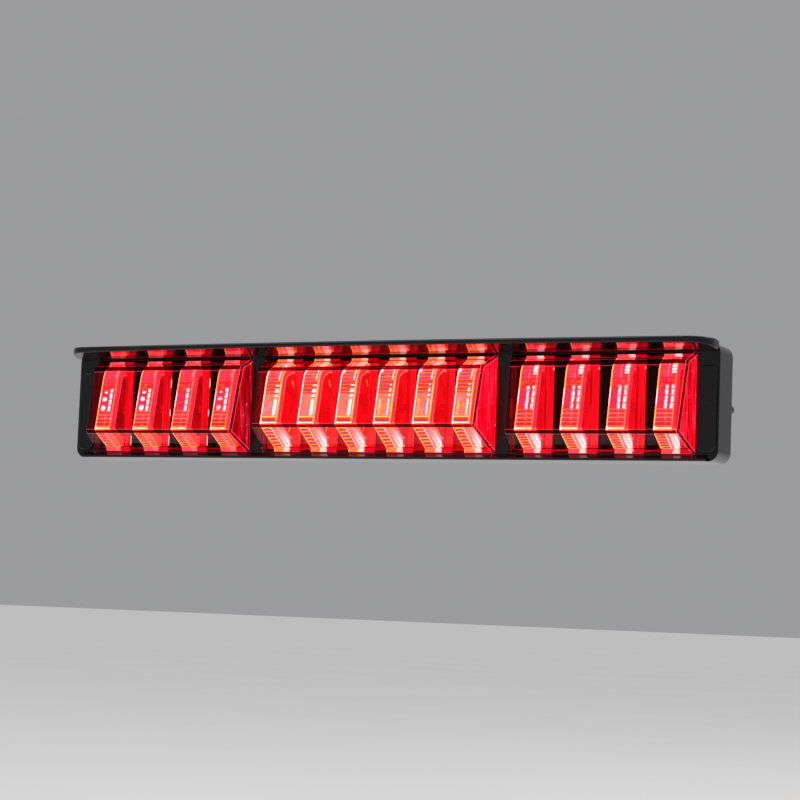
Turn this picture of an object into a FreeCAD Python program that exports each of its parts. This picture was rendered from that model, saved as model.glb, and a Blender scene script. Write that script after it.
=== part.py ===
"""Third brake light (centre high-mounted stop lamp), in millimetres.

A wide, low lamp of three faceted lens blocks in a gloss-black bezel with a brow over them. Behind the
lenses stand fourteen light guides: four, six and four. +X is to the right of somebody who faces the
lamp, -Y is the way it shines and +Z is up. The origin is midway between the two mounting screws, on
the plane where the lamp seats on the vehicle.
"""
import FreeCAD
import Part
import math
import os

Vec = FreeCAD.Vector
X_AXIS = Vec(1, 0, 0)
Y_AXIS = Vec(0, 1, 0)

# ---------------------------------------------------------------- driving dimensions
# Depths, from the seat at Y = 0 forward. A depth named *_Y is a Y coordinate.
BACK_WALL_Y = -3.0          # outside of the housing's back wall
BACK_WALL = 2.0
BOARD_Y = -10.4             # rear face of the circuit boards
BOARD_THICK = 1.6
RIM_Y = -18.6               # front rim of the housing
SEAL_THICK = 1.4
FLANGE_THICK = 2.0
BEZEL_PLATE = 2.0
FLANGE_Y = RIM_Y - SEAL_THICK                  # rear face of the lens flanges
BASE_Y = FLANGE_Y - FLANGE_THICK - BEZEL_PLATE  # where the lens blocks leave the bezel

# Lens blocks.
BLOCK_HALF_H = 27.0
SIDE_OUTER_X = 188.0
SIDE_INNER_X = 82.0
MID_HALF_X = 73.0
LENS_WALL = 1.5
LENS_ROUND = 1.3
FLANGE_LAP = 2.0
SIDE_PROW = {"crease_depth": 16.5, "crease_z": -17.0, "top_depth": 8.5, "top_z": 22.0, "draft": 0.22}
MID_PROW = {"crease_depth": 21.0, "crease_z": -14.0, "top_depth": 14.0, "top_z": 20.0, "draft": 0.17}

# Light guides.
GUIDE_W = 10.4
GUIDE_INSET = 1.9           # from the outside of the lens to the guide
GUIDE_ROUND = 6.5           # the guide's upper front corner
GUIDE_THICK = 5.4
GUIDE_STEM_HALF_H = 23.8
GUIDE_FOOT = 1.0            # how far the feet stand out each side, behind the reflector
PANEL_W = 6.6               # the strip of reflector that shows to the right of each guide
SIDE_PITCH, SIDE_COUNT = 26.4, 4
MID_PITCH, MID_COUNT = 24.0, 6
BOWL_HALF_H = 16.8
BOWL_WALL = 1.0
LED_Z = -1.0
LED_SIZE, LED_H = 3.5, 1.9
BRIDGE_HALF_H = 3.0

# Mask and reflector behind each lens.
MASK_THICK = 1.4
TRAY_GAP = 3.2              # from the block's base outline to the mask and tray
TRAY_HALF_H = 24.9
TRAY_PLATE = 1.2
TRAY_WALL = 0.7
WINDOW_HALF_H = 24.1
MASK_Y = BASE_Y + MASK_THICK
TRAY_Y = MASK_Y + 0.2       # front face of the reflector's plate
CLEAR = 0.2

# Bezel.
BEZEL_HALF_X = 201.0
BEZEL_BOTTOM_Z, BEZEL_TOP_Z = -31.0, 32.5
BEZEL_WALL = 1.8
BEZEL_CORNER = 6.0
SKIRT_END_Y = -2.0
WINDOW_CLEAR = 0.25
BROW_DEPTH = 24.5           # at the middle, forward of the lens bases
BROW_END_DEPTH = 19.5       # at the ends
BROW_TILT = math.radians(8.0)
BROW_EDGE = 2.6
BROW_CORNER, BROW_ROUND = 14.0, 0.8
LIP_DEPTH, LIP_DROP = 3.6, 2.2

# Housing.
TUB_HALF_X, TUB_HALF_Z = 190.0, 28.8
POCKET_INSET = 1.0
POCKET_HALF_Z = 25.6
EAR_HALF_Z, EAR_END_X, EAR_Y = 9.0, 198.8, -12.5
PEG_X, PEG_R, PEG_END_Y = 150.0, 3.0, 9.0
SEAL_HALF_X, SEAL_HALF_Z, SEAL_W = 184.0, 25.0, 5.0
LUG_X, LUG_Z = 193.4, 23.5  # where the bezel screws go

# Mounting screws, M5.
SCREW_X = 194.6
SCREW_R, SCREW_END_Y = 2.5, 16.5
NECK_R, THREAD_Y = 2.1, 0.0  # the plain neck in the sleeve, and where the thread begins
HEAD_R, HEAD_H = 4.1, 3.6
WASHER_R, WASHER_T = 4.2, 1.0
SLEEVE_R, SLEEVE_BORE = 3.7, 2.8
HEAD_WELL_R = 4.7

# End caps.
CAP_W, CAP_TOP_Z, CAP_BOTTOM_Z = 10.4, 20.0, -26.5
CAP_PROUD, CAP_SEAT, CAP_CORNER = 1.2, 1.0, 4.0
CAP_LEG_Z, CAP_LEG_W, CAP_LEG_T, CAP_LEG_L = 16.0, 5.0, 1.4, 9.0
CAP_BARB = 0.5
CAP_GAP = 0.35

# Connector.
CONN_X = 24.0
CONN_HALF_W, CONN_HALF_H, CONN_WALL = 9.0, 6.6, 1.5
CONN_END_Y = 14.0
PIN_PITCH, PIN_W, PIN_T, PIN_Z = 4.5, 1.6, 0.8, -1.6


# ---------------------------------------------------------------- helpers
def box(x0, x1, y0, y1, z0, z1):
    """An upright box between the stated limits."""
    return Part.makeBox(x1 - x0, y1 - y0, z1 - z0, Vec(x0, y0, z0))


def rod(radius, x, z, y0, y1):
    """A cylinder along Y from y0 to y1."""
    return Part.makeCylinder(radius, y1 - y0, Vec(x, y0, z), Y_AXIS)


def tube(outer, inner, x, z, y0, y1):
    """A round tube along Y."""
    return rod(outer, x, z, y0, y1).cut(rod(inner, x, z, y0, y1))


def rounded_box(x0, x1, y0, y1, z0, z1, radius):
    """A box whose four edges along Y are rounded."""
    solid = box(x0, x1, y0, y1, z0, z1)
    along_y = [e for e in solid.Edges if abs(e.tangentAt(e.FirstParameter).y) > 0.99]
    return solid.makeFillet(radius, along_y)


def extrude_yz(points, x0, x1):
    """A prism along X over a closed outline of (y, z) points."""
    corners = [Vec(x0, y, z) for y, z in points]
    face = Part.Face(Part.makePolygon(corners + corners[:1]))
    return face.extrude(Vec(x1 - x0, 0, 0))


def fuse(*solids):
    """One solid from several that overlap or touch."""
    whole = solids[0].multiFuse(list(solids[1:]))
    return whole.removeSplitter()


def cut(solid, *tools):
    """The solid without the tools."""
    return solid.cut(Part.makeCompound(list(tools)))


def mirrored(shape):
    """The same shape on the other side of the lamp's middle."""
    return shape.mirror(Vec(0, 0, 0), X_AXIS)


def save(name, shape):
    """Writes one node, and says so if anything is wrong with it."""
    solids = shape.Solids
    whole = solids[0] if len(solids) == 1 else Part.makeCompound(solids)
    if not solids or not whole.isValid() or min(s.Volume for s in solids) <= 0:
        print("BAD", name, len(solids), whole.isValid())
    whole.exportStep("parts/" + name + ".step")
    print(f"{name:22s} solids {len(solids):2d}  volume {whole.Volume:10.1f}")


# ---------------------------------------------------------------- the lens block's shape
def block_planes(x0, x1, prow, inset):
    """The faces of a lens block as (outward normal, distance), moved inward by inset.

    In section a block is a blunt prow: from its foot the lower face rises forward to a crease, the
    front face leans back from there, and the upper face runs back to the head of the base.
    """
    crease = (BASE_Y - prow["crease_depth"], prow["crease_z"])
    top = (BASE_Y - prow["top_depth"], prow["top_z"])
    foot = (BASE_Y, -BLOCK_HALF_H)
    head = (BASE_Y, BLOCK_HALF_H)

    def through(a, b):
        normal = Vec(0, a[1] - b[1], b[0] - a[0])
        normal.normalize()
        return normal, normal.dot(Vec(0, a[0], a[1])) - inset

    def side(x, sign):
        normal = Vec(sign, -prow["draft"], 0)
        normal.normalize()
        return normal, normal.dot(Vec(x, BASE_Y, 0)) - inset

    return {"front": through(crease, top), "lower": through(foot, crease), "upper": through(top, head),
            "left": side(x0, -1), "right": side(x1, 1)}


def meet(*planes):
    """The point that three planes share."""
    (n1, d1), (n2, d2), (n3, d3) = planes
    total = n2.cross(n3) * d1 + n3.cross(n1) * d2 + n1.cross(n2) * d3
    return total * (1.0 / n1.dot(n2.cross(n3)))


def block_solid(x0, x1, prow, inset=0.0):
    """The block's prow as a solid, forward of its base plane."""
    p = block_planes(x0, x1, prow, inset)
    base = (Y_AXIS, BASE_Y)
    at = {}
    for side in ("left", "right"):
        at[side] = [meet(p["lower"], p[side], base), meet(p["front"], p["lower"], p[side]),
                    meet(p["front"], p["upper"], p[side]), meet(p["upper"], p[side], base)]
    left, right = at["left"], at["right"]
    rings = [left, right] + [[left[i], left[(i + 1) % 4], right[(i + 1) % 4], right[i]] for i in range(4)]
    faces = [Part.Face(Part.makePolygon(ring + ring[:1])) for ring in rings]
    solid = Part.Solid(Part.Shell(faces))
    if solid.Volume < 0:
        solid.reverse()
    return solid


def block_section(prow, inset):
    """The (y, z) outline of a block's prow, from foot to head, moved inward by inset."""
    p = block_planes(0, 0, prow, inset)
    middle, base = (X_AXIS, 0.0), (Y_AXIS, BASE_Y)
    corners = [meet(p["lower"], middle, base), meet(p["front"], p["lower"], middle),
               meet(p["front"], p["upper"], middle), meet(p["upper"], middle, base)]
    return [(c.y, c.z) for c in corners]


BLOCKS = {
    "left": {"x0": -SIDE_OUTER_X, "x1": -SIDE_INNER_X, "prow": SIDE_PROW, "pitch": SIDE_PITCH,
             "count": SIDE_COUNT},
    "centre": {"x0": -MID_HALF_X, "x1": MID_HALF_X, "prow": MID_PROW, "pitch": MID_PITCH,
               "count": MID_COUNT},
    "right": {"x0": SIDE_INNER_X, "x1": SIDE_OUTER_X, "prow": SIDE_PROW, "pitch": SIDE_PITCH,
              "count": SIDE_COUNT},
}


def guide_starts(block):
    """The left edge of each light guide, with the row centred in its block."""
    row = block["pitch"] * (block["count"] - 1) + GUIDE_W
    first = (block["x0"] + block["x1"] - row) / 2
    return [first + block["pitch"] * i for i in range(block["count"])]


# ---------------------------------------------------------------- the optical parts
def lens(block):
    """A hollow faceted block with a flange round its base."""
    x0, x1 = block["x0"], block["x1"]
    outer = block_solid(x0, x1, block["prow"])
    sharp = [e for e in outer.Edges if max(v.Y for v in e.Vertexes) - BASE_Y < -1 or
             abs(e.Vertexes[0].Y - e.Vertexes[1].Y) > 1]
    outer = outer.makeFillet(LENS_ROUND, sharp)
    collar = box(x0, x1, BASE_Y, FLANGE_Y, -BLOCK_HALF_H, BLOCK_HALF_H)
    flange = rounded_box(x0 - FLANGE_LAP, x1 + FLANGE_LAP, FLANGE_Y - FLANGE_THICK, FLANGE_Y,
                         -BLOCK_HALF_H - FLANGE_LAP, BLOCK_HALF_H + FLANGE_LAP, FLANGE_LAP)
    inner = block_solid(x0, x1, block["prow"], LENS_WALL)
    foot, _, _, head = block_section(block["prow"], LENS_WALL)
    side = LENS_WALL * math.hypot(1, block["prow"]["draft"])
    throat = box(x0 + side, x1 - side, BASE_Y, FLANGE_Y, foot[1], head[1])
    return cut(fuse(outer, collar, flange), inner, throat)


def lens_seal(block):
    """The silicone ring between a lens flange and the housing's rim."""
    lap = FLANGE_LAP - 0.4
    ring = box(block["x0"] - lap, block["x1"] + lap, FLANGE_Y, RIM_Y, -BLOCK_HALF_H - lap, BLOCK_HALF_H + lap)
    inside = box(block["x0"] - 0.6, block["x1"] + 0.6, FLANGE_Y, RIM_Y, -BLOCK_HALF_H - 0.6, BLOCK_HALF_H + 0.6)
    return ring.cut(inside)


def light_guide(x, prow):
    """A clear fluted bow that follows its lens in front of an LED, with two feet through the reflector."""
    foot, crease, top, head = block_section(prow, GUIDE_INSET)
    front_y = BASE_Y - 0.3
    lift = (foot[0] - front_y) / (foot[0] - crease[0])
    low = (front_y, foot[1] + lift * (crease[1] - foot[1]))
    drop = (head[0] - front_y) / (head[0] - top[0])
    high = (front_y, head[1] + drop * (top[1] - head[1]))
    bow = extrude_yz([low, crease, top, high], x, x + GUIDE_W)
    nose = [e for e in bow.Edges if all(abs(v.Y - top[0]) < 0.01 and abs(v.Z - top[1]) < 0.01 for v in e.Vertexes)]
    bow = bow.makeFillet(GUIDE_ROUND, nose)
    stem_end = TRAY_Y + TRAY_PLATE + 0.1
    stem = box(x, x + GUIDE_W, front_y, stem_end, -GUIDE_STEM_HALF_H, GUIDE_STEM_HALF_H)
    feet = box(x - GUIDE_FOOT, x + GUIDE_W + GUIDE_FOOT, stem_end, stem_end + 1.0,
               -GUIDE_STEM_HALF_H, GUIDE_STEM_HALF_H)
    low_z, high_z = guide_gap(prow)
    inner = block_solid(x - 5, x + GUIDE_W + 5, dict(prow, draft=0), GUIDE_INSET + GUIDE_THICK)
    behind = box(x - 5, x + GUIDE_W + 5, BASE_Y, stem_end + 2, low_z, high_z)
    return cut(fuse(bow, stem, feet), inner, behind)


def guide_gap(prow):
    """(low, high) Z of the opening between a guide's two feet."""
    section = block_section(prow, GUIDE_INSET + GUIDE_THICK)
    return section[0][1], section[3][1]


def lit_window(block, x):
    """(low, high) X of the window that shows a guide and the panel beside it."""
    return x - CLEAR, min(x + GUIDE_W + PANEL_W, block["x1"] - TRAY_GAP - 1.4)


def mask(block):
    """The plate in front of the reflector, which hides all but the guides and their panels."""
    x0, x1 = block["x0"] + TRAY_GAP, block["x1"] - TRAY_GAP
    plate = box(x0, x1, BASE_Y, MASK_Y, -TRAY_HALF_H, TRAY_HALF_H)
    windows = []
    for x in guide_starts(block):
        low, high = lit_window(block, x)
        windows.append(box(low, high, BASE_Y, MASK_Y, -WINDOW_HALF_H, WINDOW_HALF_H))
    return cut(plate, *windows)


def reflector(block):
    """A tray behind the mask: a slot for each foot of the guides, a bowl for each LED and walls to the board."""
    x0, x1 = block["x0"] + TRAY_GAP, block["x1"] - TRAY_GAP
    back = BOARD_Y - BOARD_THICK - CLEAR
    plate_back = TRAY_Y + TRAY_PLATE
    shell = box(x0, x1, TRAY_Y, back, -TRAY_HALF_H, TRAY_HALF_H)
    hollow = box(x0 + TRAY_WALL, x1 - TRAY_WALL, plate_back, back,
                 -TRAY_HALF_H + TRAY_WALL, TRAY_HALF_H - TRAY_WALL)
    low_z, high_z = guide_gap(block["prow"])
    slot_half_h = GUIDE_STEM_HALF_H + CLEAR
    bowls, cuts = [], [hollow]
    for x in guide_starts(block):
        left, right = x - CLEAR, x + GUIDE_W + CLEAR
        cuts.append(box(left, right, TRAY_Y, plate_back, -slot_half_h, low_z + CLEAR))
        cuts.append(box(left, right, TRAY_Y, plate_back, high_z - CLEAR, slot_half_h))
        bowls.append(bowl(x, plate_back - 0.2, back, BOWL_WALL))
        cuts.append(box(left, right, TRAY_Y, plate_back, -BOWL_HALF_H, BOWL_HALF_H))
    shell = fuse(cut(shell, *cuts), *bowls)
    return cut(shell, *[bowl(x, plate_back - 0.3, back + 0.1, 0.0) for x in guide_starts(block)])


def bowl(x, front, back, wall):
    """A tapered well behind a guide, from the reflector's plate down to the LED, grown by its wall."""
    middle = x + GUIDE_W / 2
    wide, tall = GUIDE_W / 2 + CLEAR + wall, BOWL_HALF_H + wall
    end = LED_SIZE / 2 + 0.6 + wall
    return Part.makeWedge(middle - wide, front, -tall, LED_Z - end, middle - end,
                          middle + wide, back, tall, LED_Z + end, middle + end)


# ---------------------------------------------------------------- electrical parts
def board_screw_places(block):
    """Two screws for each board, between guides."""
    starts = guide_starts(block)
    gap = block["pitch"] - GUIDE_W
    return [(starts[i] + GUIDE_W + gap / 2, z) for i, z in ((0, 12.0), (len(starts) - 2, -12.0))]


def board(block):
    """A circuit board with holes for its screws and, on the middle one, for the connector's pins."""
    x0, x1 = block["x0"] + 1.6, block["x1"] - 1.6
    plate = rounded_box(x0, x1, BOARD_Y - BOARD_THICK, BOARD_Y, -TRAY_HALF_H - 0.6, TRAY_HALF_H + 0.6, 1.5)
    holes = [rod(1.3, x, z, BOARD_Y - BOARD_THICK, BOARD_Y) for x, z in board_screw_places(block)]
    if x0 < CONN_X < x1:
        holes += [box(x - PIN_W / 2 - 0.1, x + PIN_W / 2 + 0.1, BOARD_Y - BOARD_THICK, BOARD_Y,
                      PIN_Z - PIN_T / 2 - 0.1, PIN_Z + PIN_T / 2 + 0.1) for x in pin_places()]
    return cut(plate, *holes)


def leds(block):
    """One surface-mount LED behind each guide: a square body with a shallow round dome."""
    front = BOARD_Y - BOARD_THICK
    group = []
    for x in guide_starts(block):
        middle = x + GUIDE_W / 2
        half = LED_SIZE / 2
        body = box(middle - half, middle + half, front - LED_H + 0.5, front, LED_Z - half, LED_Z + half)
        group.append(fuse(body, rod(1.3, middle, LED_Z, front - LED_H, front - LED_H + 0.5)))
    return Part.makeCompound(group)


def board_parts(block):
    """Resistors beside the LEDs, a diode and a driver for each board."""
    front = BOARD_Y - BOARD_THICK
    group = []
    for x in guide_starts(block):
        for z in (8.5, -10.5):
            left = x + 1.0
            group.append(box(left, left + 3.2, front - 0.6, front, z, z + 1.6))
    driver_x = guide_starts(block)[1] - 8.2
    group.append(box(driver_x, driver_x + 4.0, front - 1.5, front, -6.0, -1.0))
    group.append(box(driver_x + 0.4, driver_x + 3.2, front - 1.1, front, 5.0, 9.6))
    return Part.makeCompound(group)


def board_screws(block):
    """Pan-head screws that hold a board to its pillars."""
    front = BOARD_Y - BOARD_THICK
    return [fuse(rod(2.4, x, z, front - 1.6, front), rod(1.1, x, z, front - 0.1, BOARD_Y + 4.0))
            for x, z in board_screw_places(block)]


def bridge(sign):
    """A rigid link that carries current from the middle board to a side board through the housing's wall."""
    inner, outer = MID_HALF_X - 7.0, SIDE_INNER_X + 7.0
    bar = box(inner, outer, BOARD_Y + 1.2, BOARD_Y + 3.0, -BRIDGE_HALF_H, BRIDGE_HALF_H)
    feet = [box(a, a + 4.0, BOARD_Y, BOARD_Y + 1.3, -BRIDGE_HALF_H, BRIDGE_HALF_H) for a in (inner, outer - 4.0)]
    link = fuse(bar, *feet)
    return link if sign > 0 else mirrored(link)


def pin_places():
    return [CONN_X + PIN_PITCH * i for i in (-1, 0, 1)]


def connector_socket():
    """The socket that the vehicle's plug pushes into, with a flange, keys and a catch for the plug's latch."""
    floor_y = BACK_WALL_Y + 4.5
    rear = BACK_WALL_Y + 0.8
    x0, x1 = CONN_X - CONN_HALF_W, CONN_X + CONN_HALF_W
    outer = rounded_box(x0, x1, BOARD_Y + 0.4, CONN_END_Y, -CONN_HALF_H, CONN_HALF_H, 1.6)
    cavity = rounded_box(x0 + CONN_WALL, x1 - CONN_WALL, floor_y, CONN_END_Y,
                         -CONN_HALF_H + CONN_WALL, CONN_HALF_H - CONN_WALL, 1.0)
    flange = rounded_box(x0 - 2.6, x1 + 2.6, rear, rear + 1.5, -CONN_HALF_H - 2.6, CONN_HALF_H + 2.6, 2.4)
    catch = extrude_yz([(CONN_END_Y - 6.5, CONN_HALF_H - 0.1), (CONN_END_Y - 6.5, CONN_HALF_H + 1.2),
                        (CONN_END_Y - 5.2, CONN_HALF_H + 1.2), (CONN_END_Y - 2.5, CONN_HALF_H - 0.1)],
                       CONN_X - 2.5, CONN_X + 2.5)
    keys = [box(CONN_X + a, CONN_X + a + 1.2, rear + 1.5, CONN_END_Y, -CONN_HALF_H - 0.9, -CONN_HALF_H + 0.1)
            for a in (-6.0, 4.8)]
    body = fuse(outer, flange, catch, *keys)
    pins = [box(x - PIN_W / 2, x + PIN_W / 2, BOARD_Y, CONN_END_Y, PIN_Z - PIN_T / 2, PIN_Z + PIN_T / 2)
            for x in pin_places()]
    return cut(body, cavity, *pins)


def terminal_pins():
    """Three flat pins, soldered in the board and standing in the socket."""
    front = BOARD_Y - BOARD_THICK - 0.8
    return Part.makeCompound([box(x - PIN_W / 2, x + PIN_W / 2, front, CONN_END_Y - 4.5,
                                  PIN_Z - PIN_T / 2, PIN_Z + PIN_T / 2) for x in pin_places()])


def connector_seal():
    """The ring pressed between the socket's flange and the housing."""
    x0, x1 = CONN_X - CONN_HALF_W, CONN_X + CONN_HALF_W
    ring = rounded_box(x0 - 2.2, x1 + 2.2, BACK_WALL_Y, BACK_WALL_Y + 0.8,
                       -CONN_HALF_H - 2.2, CONN_HALF_H + 2.2, 2.0)
    return ring.cut(rounded_box(x0 - 0.5, x1 + 0.5, BACK_WALL_Y, BACK_WALL_Y + 0.8,
                                -CONN_HALF_H - 0.5, CONN_HALF_H + 0.5, 1.6))


def vent_plug():
    """A breather cap with a stem in the back wall and slots under its head."""
    x, z = -118.0, 0.0
    head = rod(5.5, x, z, BACK_WALL_Y + 0.9, BACK_WALL_Y + 2.7)
    neck = rod(3.6, x, z, BACK_WALL_Y, BACK_WALL_Y + 1.0)
    stem = rod(2.4, x, z, BACK_WALL_Y - BACK_WALL - 1.5, BACK_WALL_Y)
    bore = rod(1.3, x, z, BACK_WALL_Y - BACK_WALL - 1.5, BACK_WALL_Y + 1.9)
    slots = [box(x - 6, x + 6, BACK_WALL_Y + 0.9, BACK_WALL_Y + 1.5, z - 0.7, z + 0.7),
             box(x - 0.7, x + 0.7, BACK_WALL_Y + 0.9, BACK_WALL_Y + 1.5, z - 6, z + 6)]
    cap = head.makeFillet(0.8, [e for e in head.Edges if abs(e.CenterOfMass.y - BACK_WALL_Y - 2.7) < 0.01])
    return cut(fuse(cap, neck, stem), bore, *slots)


# ---------------------------------------------------------------- the casing
def bezel_screw_places():
    return [(sx * LUG_X, sz * LUG_Z) for sx in (-1, 1) for sz in (-1, 1)]


def housing():
    """The rear tub: a pocket for each lens, ears for the mounting screws, lugs, pegs, ribs and pillars."""
    tub = rounded_box(-TUB_HALF_X, TUB_HALF_X, RIM_Y, BACK_WALL_Y, -TUB_HALF_Z, TUB_HALF_Z, 4.0)
    inside_y = BACK_WALL_Y - BACK_WALL
    pockets = [box(b["x0"] + POCKET_INSET, b["x1"] - POCKET_INSET, RIM_Y, inside_y, -POCKET_HALF_Z, POCKET_HALF_Z)
               for b in BLOCKS.values()]
    adds, cuts = [], list(pockets)
    for side in (-1, 1):
        x0, x1 = sorted((side * (TUB_HALF_X - 1), side * EAR_END_X))
        adds.append(box(x0, x1, EAR_Y, 0, -EAR_HALF_Z, EAR_HALF_Z))
        adds.append(rod(PEG_R, side * PEG_X, 0, BACK_WALL_Y - 0.5, PEG_END_Y - 1.2))
        adds.append(Part.makeCone(PEG_R, PEG_R - 1.2, 1.2, Vec(side * PEG_X, PEG_END_Y - 1.2, 0), Y_AXIS))
        cuts.append(rod(SLEEVE_R, side * SCREW_X, 0, EAR_Y, 0))
        wall = sorted((side * (MID_HALF_X - 2), side * (SIDE_INNER_X + 2)))
        cuts.append(box(*wall, BOARD_Y + 0.8, BOARD_Y + 3.4, -BRIDGE_HALF_H - 0.4, BRIDGE_HALF_H + 0.4))
        for z0, z1 in ((-24.5, -9.0), (21.5, 25.5)):
            core = sorted((side * (MID_HALF_X + 1.0), side * (SIDE_INNER_X - 1.0)))
            cuts.append(box(*core, RIM_Y + 3.0, BACK_WALL_Y, z0, z1))
    for x, z in bezel_screw_places():
        side = math.copysign(1, x)
        low, high = sorted((side * (TUB_HALF_X - 1), side * (EAR_END_X - 1.2)))
        adds.append(box(low, high, -8.0, -5.0, z - 3.6, z + 3.6))
        cuts.append(rod(1.6, x, z, -8.0, -5.0))
    for z in (-10.0, 10.0):
        adds.append(box(-SEAL_HALF_X + SEAL_W + 1, SEAL_HALF_X - SEAL_W - 1, BACK_WALL_Y - 0.5,
                        BACK_WALL_Y + 1.6, z - 0.7, z + 0.7))
    for i in range(-7, 8):
        if i not in (1, 2):
            adds.append(box(i * 23.0 - 0.7, i * 23.0 + 0.7, BACK_WALL_Y - 0.5, BACK_WALL_Y + 1.6, -18.5, 18.5))
    cuts.append(rod(8.0, -118.0, 0, BACK_WALL_Y, BACK_WALL_Y + 3))
    cuts.append(rod(2.4, -118.0, 0, inside_y, BACK_WALL_Y))
    cuts.append(box(CONN_X - 12.4, CONN_X + 12.4, BACK_WALL_Y, BACK_WALL_Y + 3, -10.0, 10.0))
    cuts.append(rounded_box(CONN_X - CONN_HALF_W, CONN_X + CONN_HALF_W, inside_y - 1, BACK_WALL_Y + 0.1,
                            -CONN_HALF_H, CONN_HALF_H, 1.6))
    shell = cut(fuse(tub, *adds), *cuts)
    pillars, pilots = [], []
    for b in BLOCKS.values():
        for x, z in board_screw_places(b):
            pillars.append(rod(3.0, x, z, BOARD_Y, inside_y + 0.5))
            pilots.append(rod(1.1, x, z, BOARD_Y, BOARD_Y + 4.0))
    return cut(fuse(shell, *pillars), *pilots)


def bezel():
    """The gloss surround: a plate with three windows, a skirt, a brow above and a lip below."""
    body = rounded_box(-BEZEL_HALF_X, BEZEL_HALF_X, BASE_Y, SKIRT_END_Y, BEZEL_BOTTOM_Z, BEZEL_TOP_Z, BEZEL_CORNER)
    plate_y = BASE_Y + BEZEL_PLATE
    hollow = rounded_box(-BEZEL_HALF_X + BEZEL_WALL, BEZEL_HALF_X - BEZEL_WALL, plate_y, SKIRT_END_Y,
                         BEZEL_BOTTOM_Z + BEZEL_WALL, BEZEL_TOP_Z - BEZEL_WALL, BEZEL_CORNER - BEZEL_WALL)
    windows = [box(b["x0"] - WINDOW_CLEAR, b["x1"] + WINDOW_CLEAR, BASE_Y, plate_y,
                   -BLOCK_HALF_H - WINDOW_CLEAR, BLOCK_HALF_H + WINDOW_CLEAR) for b in BLOCKS.values()]
    cuts = [hollow] + windows
    for side in (-1, 1):
        x = side * SCREW_X
        half = CAP_W / 2 + 0.2
        cuts.append(rounded_box(x - half, x + half, BASE_Y, BASE_Y + CAP_SEAT,
                                CAP_BOTTOM_Z - 0.2, CAP_TOP_Z + 0.2, CAP_CORNER))
        cuts.append(rod(HEAD_WELL_R, x, 0, BASE_Y, plate_y))
        for z in cap_leg_places():
            half_w = CAP_LEG_W / 2 + CAP_GAP
            half_h = CAP_LEG_T / 2 + CAP_BARB + CAP_GAP
            cuts.append(box(x - half_w, x + half_w, BASE_Y, plate_y, z - half_h, z + half_h))
    shell = cut(body, *cuts)
    bosses = [tube(3.0, 1.2, x, z, plate_y - 0.1, -8.0) for x, z in bezel_screw_places()]
    return fuse(shell, brow(), lip(), *bosses)


def brow_plan(half, low_z, high_z):
    """The brow seen from above, as a prism: a shallow arc in front that runs into a round corner at each end."""
    bow = BROW_DEPTH - BROW_END_DEPTH
    big = (half * half + bow * bow) / (2 * bow)
    centre = Vec(0, BASE_Y - BROW_DEPTH + big, low_z)
    reach = big - BROW_CORNER
    along = half - BROW_CORNER
    corner = centre + Vec(along, -math.sqrt(reach * reach - along * along), 0)
    outward = (corner - centre) * (1 / reach)
    between = outward + X_AXIS
    between.normalize()
    join = centre + outward * big
    end = corner + X_AXIS * BROW_CORNER
    nose = Vec(0, BASE_Y - BROW_DEPTH, low_z)
    back = Vec(half, BASE_Y + 1, low_z)

    def flip(point):
        return Vec(-point.x, point.y, point.z)

    turn = corner + between * BROW_CORNER
    edges = [Part.Arc(join, nose, flip(join)).toShape(), Part.Arc(join, turn, end).toShape(),
             Part.Arc(flip(join), flip(turn), flip(end)).toShape(), Part.LineSegment(end, back).toShape(),
             Part.LineSegment(flip(end), flip(back)).toShape(), Part.LineSegment(back, flip(back)).toShape()]
    outline = Part.Wire(Part.__sortEdges__(edges))
    return Part.Face(outline).extrude(Vec(0, 0, high_z - low_z))


def brow():
    """A hood over the lenses, deepest at its middle, whose underside rises towards its front edge."""
    root_z = BLOCK_HALF_H + WINDOW_CLEAR + 0.2
    reach = BROW_DEPTH + 1.0
    front_y = BASE_Y - reach
    rise = reach * math.tan(BROW_TILT)
    profile = [(BASE_Y + 0.1, root_z), (front_y, root_z + rise), (front_y, root_z + rise + BROW_EDGE),
               (BASE_Y - 4.0, BEZEL_TOP_Z + 1.2), (BASE_Y + 0.1, BEZEL_TOP_Z)]
    half = BEZEL_HALF_X - 1.0
    hood = extrude_yz(profile, -half, half).common(brow_plan(half, root_z - 5, root_z + 15))
    rims = [e for e in hood.Edges if e.BoundBox.YMax < BASE_Y - 4.1 and e.BoundBox.XLength > 5]
    return hood.makeFillet(BROW_ROUND, rims)


def lip():
    """A small ledge below the lenses whose upper face falls away to the front."""
    top = -BLOCK_HALF_H - WINDOW_CLEAR - 0.2
    half = BEZEL_HALF_X - BEZEL_CORNER
    return extrude_yz([(BASE_Y + 0.1, top), (BASE_Y - LIP_DEPTH, top - LIP_DROP),
                       (BASE_Y - LIP_DEPTH, BEZEL_BOTTOM_Z + 0.5), (BASE_Y - LIP_DEPTH + 0.5, BEZEL_BOTTOM_Z),
                       (BASE_Y + 0.1, BEZEL_BOTTOM_Z)], -half, half)


def rear_seal():
    """The foam ring that closes the lamp to the vehicle."""
    ring = rounded_box(-SEAL_HALF_X, SEAL_HALF_X, BACK_WALL_Y, 0, -SEAL_HALF_Z, SEAL_HALF_Z, 5.0)
    return ring.cut(rounded_box(-SEAL_HALF_X + SEAL_W, SEAL_HALF_X - SEAL_W, BACK_WALL_Y, 0,
                                -SEAL_HALF_Z + SEAL_W, SEAL_HALF_Z - SEAL_W, 2.0))


def bezel_screws():
    """Pan-head screws through the housing's lugs into the bezel's bosses."""
    return Part.makeCompound([fuse(rod(2.8, x, z, -5.0, -3.2), rod(1.2, x, z, -16.0, -4.9))
                              for x, z in bezel_screw_places()])


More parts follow.
